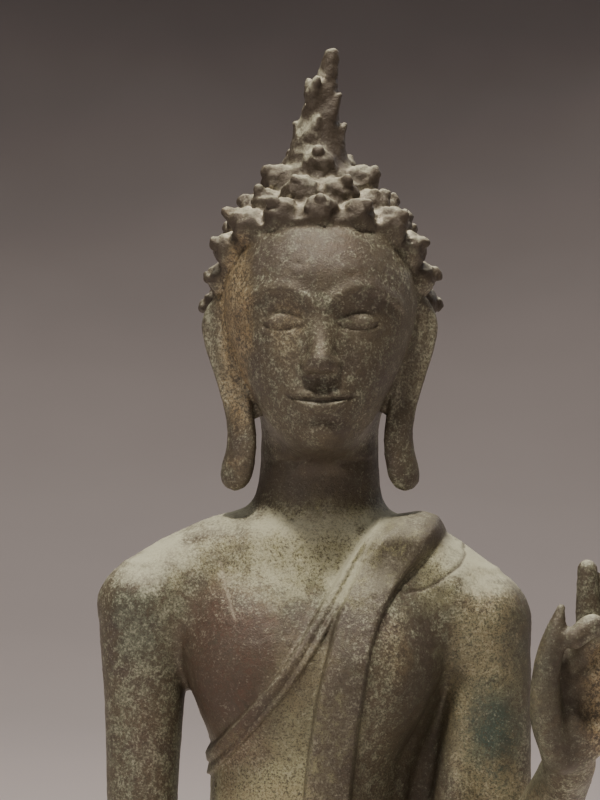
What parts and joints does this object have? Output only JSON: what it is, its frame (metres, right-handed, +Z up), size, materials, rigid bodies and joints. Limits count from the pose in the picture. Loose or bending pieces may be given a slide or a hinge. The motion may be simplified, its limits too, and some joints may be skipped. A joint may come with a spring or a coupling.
{
  "type": "walking buddha statue",
  "caption": "Slender standing Buddha cast in bronze, stepping forward with one hand raised, robe over one shoulder, curled hair under a flame, on a low round base.",
  "frame": {"origin": "centre of the round base's underside, where it rests on the ground", "axes": "+Z up, from the base to the flame on the head; the figure faces -Y; +X is on the figure's own left, where the raised hand is"},
  "size_m": [0.2006, 0.1958, 0.7397],
  "materials": {
    "patinated_bronze": "weathered green and brown patina, matt",
    "dark_bronze": "dark brown patina, matt"
  },
  "bodies": {
    "root": {"figure": "patinated_bronze", "base": "dark_bronze"}
  },
  "joints": []
}
